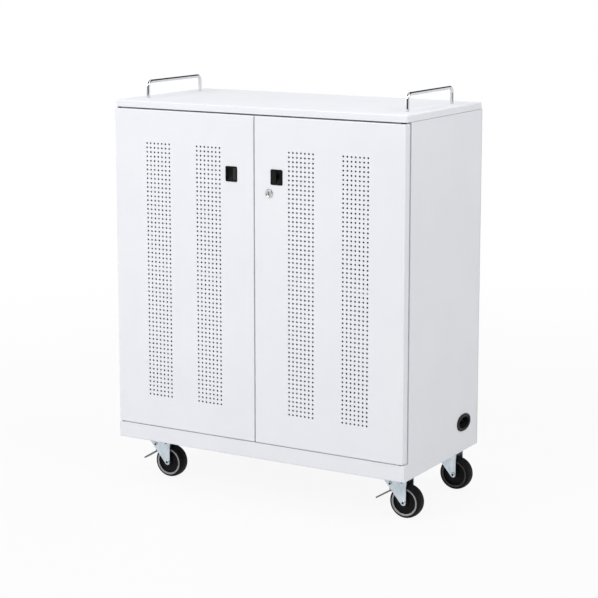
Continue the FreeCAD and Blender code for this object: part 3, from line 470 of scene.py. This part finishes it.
handleMake = {"rod": 4.0, "bend": 12.0, "sides": 28, "bendSteps": 14}
for side in sides:
    node = side + "_push_handle"
    low, high = nodeBox(node)
    rodX = (low[0] + high[0]) / 2
    rod, bend = handleMake["rod"], handleMake["bend"]
    frontLeg, backLeg, ridge = low[1] + rod, high[1] - rod, high[2] - rod
    route = [(rodX, frontLeg, low[2]), (rodX, frontLeg, ridge), (rodX, backLeg, ridge), (rodX, backLeg, low[2])]
    path = dropRepeats(roundCorners(route, [0, bend, bend, 0], handleMake["bendSteps"]))
    bar = tube(path, rod, (1, 0, 0), handleMake["sides"])
    makePiece(side + "_handle_bar", [(bar, True, False)], "cabinet", "chrome", replaced=[node])

pullMake = {"halfWide": 15.0, "halfHigh": 17.0, "corner": 3.0, "leastCorner": 0.8, "proud": 1.5, "wall": 3.1,
            "draft": 0.5, "deep": 11.5, "rounds": [0, 0.75, 0.7, 1.6], "lipShare": 0.42, "lipDrop": 3.2,
            "lipCrown": 0.25, "lipThick": 2.0, "lipBack": 0.25, "lipTuck": 0.6,
            "lipRounds": [0.1, 12.0, 0.7, 0.5, 0.1], "lipSteps": 7}


def pullCup(p, x, z, doorFace):
    # inwards from the door's face: up the rim, over its round, down the cup's wall with a drafted side, then the floor
    across = [(0, 0), (0, p["proud"]), (-p["wall"], p["proud"]), (-p["wall"] - p["draft"], -p["deep"])]
    edge = dropRepeats(roundCorners(across, p["rounds"]))
    inset = np.r_[edge[:, 0], -p["halfWide"]]
    rise = np.r_[edge[:, 1], -p["deep"]]
    halfWide = p["halfWide"] + inset
    halfHigh = np.maximum(p["halfHigh"] + inset, 0)
    corner = np.maximum(p["corner"] + inset, p["leastCorner"])
    halfHigh[-1] = corner[-1] = 0
    return roundedRings(halfWide, halfHigh, corner, -rise) + (x, doorFace, z)


def pullLip(p, x, z, doorFace, sign):
    # a strip on the door's free side that slopes into the cup: its section in plan is carried up from wall to wall
    outer = p["halfWide"] - p["wall"] + p["lipTuck"]
    inner = p["halfWide"] - p["lipShare"] * 2 * p["halfWide"]
    front = p["proud"] - p["lipBack"]
    low = front - p["lipDrop"]
    crest = ((outer + inner) / 2, (front + low) / 2 + p["lipCrown"])
    plan = roundCorners([(outer, front), crest, (inner, low), (inner, low - p["lipThick"]),
                         (outer, front - p["lipThick"])], p["lipRounds"], p["lipSteps"])
    level = np.array((-1, -1, 1, 1)) * (p["halfHigh"] - p["wall"] + p["lipTuck"])
    full = np.array((0, 1, 1, 0))[None, :, None]  # both ends close on the section's middle
    middle = plan.mean(0)
    strip = middle + (plan[:, None] - middle) * full
    wide = x - sign * strip[..., 0]
    return np.stack([wide, doorFace - strip[..., 1], np.broadcast_to(z + level, wide.shape)], -1)


for side, sign in sides.items():
    low, high = nodeBox(side + "_pull")
    x, z = (low[0] + high[0]) / 2, (low[2] + high[2]) / 2
    doorFace = low[1] + pullMake["proud"]
    body = side + "_door"
    makePiece(side + "_pull_cup", [(pullCup(pullMake, x, z, doorFace), True, False)], body, "black_plastic",
              replaced=[side + "_pull"])
    makePiece(side + "_pull_lip", [(pullLip(pullMake, x, z, doorFace, sign), True, False)], body, "black_plastic",
              look="pull_lip")

outletMake = {"halfLong": 33.0, "halfHigh": 19.5, "thick": 3.0, "rim": 7.5, "sleeve": 12.0, "outside": 6.8,
              "rounds": [0.1, 1.3, 2.2, 0.2, 0.2, 0.1], "squareness": 2.15, "segments": 88}


def outletCollar(o, low, high):
    # the collar's section, inset from its outer edge and out from the panel, runs round superellipses: long = halfLong
    # cos^(2/n) and high = halfHigh sin^(2/n), each with its sign, where n is the squareness
    edge = dropRepeats(roundCorners(
        [(0, 0), (0, o["thick"]), (-o["rim"], o["thick"]), (-o["rim"], -o["sleeve"]), (-o["outside"], -o["sleeve"]),
         (-o["outside"], 0)], o["rounds"]))
    turn = np.linspace(0, 2 * math.pi, o["segments"], endpoint=False)[:, None]
    power = 2 / o["squareness"]
    along = np.sign(np.cos(turn)) * np.abs(np.cos(turn)) ** power * (o["halfLong"] + edge[:, 0])
    up = np.sign(np.sin(turn)) * np.abs(np.sin(turn)) ** power * (o["halfHigh"] + edge[:, 0])
    out = np.broadcast_to(edge[:, 1], along.shape)
    return np.stack([high[0] - o["thick"] + out, (low[1] + high[1]) / 2 + along, (low[2] + high[2]) / 2 + up], -1)


collar = outletCollar(outletMake, *nodeBox("cable_outlet"))
makePiece("outlet_collar", [(collar, True, True)], "cabinet", "black_plastic", look="outlet_rubber",
          replaced=["cable_outlet"])

lockMake = {"bezel": 10.0, "proud": 3.0, "shoulder": 1.6, "flatOuter": 8.7, "flatInner": 6.9, "mouth": 0.5,
            "bore": 6.05, "body": 8.0, "rounds": [0, 0.15, 0.2, 0.8, 0.8, 0.15, 0.1], "segments": 72,
            "threadStart": 5.5, "threadEnd": 0.6, "pitch": 1.0, "threadDepth": 0.35, "chamfer": 0.4}


def lockProfile(k, reach):
    # half outline: bore, mouth, flat and shoulder of the bezel, back to the barrel, then the thread's ridges to its end
    face = roundCorners(
        [(k["bore"], reach), (k["bore"], -k["proud"] + k["mouth"]), (k["flatInner"], -k["proud"]),
         (k["flatOuter"], -k["proud"]), (k["bezel"], -k["shoulder"]), (k["bezel"], 0), (k["body"], 0)], k["rounds"])
    threadY = np.arange(k["threadStart"], reach - k["threadEnd"], k["pitch"] / 2)
    threadR = k["body"] - k["threadDepth"] * (np.arange(len(threadY)) % 2)
    return np.concatenate([dropRepeats(face), np.stack([threadR, threadY], -1), [(k["body"] - k["chamfer"], reach)]])


low, high = nodeBox("lock_housing")
doorFace = low[1] + lockMake["proud"]
lockPlace = ((low[0] + high[0]) / 2, doorFace, (low[2] + high[2]) / 2)
barrel = lathe(lockProfile(lockMake, high[1] - doorFace), lockPlace, lockMake["segments"])
makePiece("lock_barrel", [(barrel, True, True)], "right_door", "chrome", replaced=["lock_housing"])

pinMake = {"boreShare": 0.52, "boreDepth": 3.6, "boreTaper": 0.9, "rounds": [0, 0.1, 0.1, 0.7, 0.5, 0.2, 0],
           "roundSteps": 5, "boreShadeShare": 0.88, "boreShadeDepth": 3.4, "boreShadeRings": 3, "segments": 40,
           "axle": {"shank": 4.0, "head": 5.6, "height": 2.2}, "brake": {"shank": 3.0, "head": 5.0, "height": 1.6}}


def pinHead(p, size, reach):
    # half outline of a hollow rivet: shank to the fork's face, the turned-over head and its bore, closed on the axis
    head, shank = size["head"], size["shank"]
    bore = p["boreShare"] * head
    tip = reach + size["height"]
    floorY = tip - p["boreDepth"]
    half = roundCorners([(shank, 0), (shank, reach), (head, reach), (head, tip), (bore, tip),
                         (bore * p["boreTaper"], floorY), (0, floorY)], p["rounds"], p["roundSteps"])
    return dropRepeats(half)


def makePin(name, node, body, size):  # a rivet with a head at both ends, and near-black discs on the floors of its bores as painted shade
    low, high = nodeBox(node)
    centre = (low + high) / 2
    tip = (high[1] - low[1]) / 2
    half = pinHead(pinMake, size, tip - size["height"])
    profile = np.concatenate([half[::-1] * (1, -1), half])
    makePiece(name, [(lathe(profile, centre, pinMake["segments"]), True, False)], body, "zinc", replaced=[node])
    # each bore's floor is a disc in the dark magnet finish: painted shade in the recess
    boreShadeRadius = np.linspace(0, pinMake["boreShare"] * size["head"] * pinMake["boreShadeShare"], pinMake["boreShadeRings"])
    boreShade = np.stack([boreShadeRadius, np.full(pinMake["boreShadeRings"], tip - pinMake["boreShadeDepth"])], -1)
    boreShades = [(lathe(end, centre, pinMake["segments"]), True, False) for end in (boreShade, boreShade * (1, -1))]
    makePiece(name + "_bore_painted_shade", boreShades, body, "zinc", look="magnet")


for corner in corners:
    makePin(corner + "_axle_rivet", corner + "_axle", corner + "_swivel", pinMake["axle"])
for corner in corners[:2]:
    makePin(corner + "_brake_rivet", corner + "_brake_pin", corner + "_swivel", pinMake["brake"])

rivetMake = {"radius": 3.2, "rise": 0.45, "edge": 8.0, "rows": 9, "columns": 7, "segments": 14, "rings": 5}


def rivetHeads(r, low, high):
    # one low dome, rise (1 - out^2) with out from 0 to 1, is laid at every place of two upright and two level rows
    across = np.linspace(low[0] + r["edge"], high[0] - r["edge"], r["columns"])
    up = np.linspace(low[2] + r["edge"], high[2] - r["edge"], r["rows"])
    level = np.stack(np.meshgrid(across, up[[0, -1]]), -1).reshape(-1, 2)
    upright = np.stack(np.meshgrid(across[[0, -1]], up[1:-1]), -1).reshape(-1, 2)
    places = np.concatenate([level, upright])[:, None, None]
    out = np.linspace(0, 1, r["rings"])
    turn = np.linspace(0, 2 * math.pi, r["segments"], endpoint=False)[:, None]
    flat = np.stack([out * np.cos(turn), out * np.sin(turn)], -1) * r["radius"]
    rise = np.broadcast_to(r["rise"] * (1 - out ** 2), flat.shape[:2])
    x, z = np.moveaxis(places + flat, -1, 0)
    return np.stack([x, np.broadcast_to(high[1] + rise, x.shape), z], -1)


heads = rivetHeads(rivetMake, *nodeBox("back_panel"))
makePiece("back_rivets", [(head, True, False) for head in heads], "cabinet", "zinc")
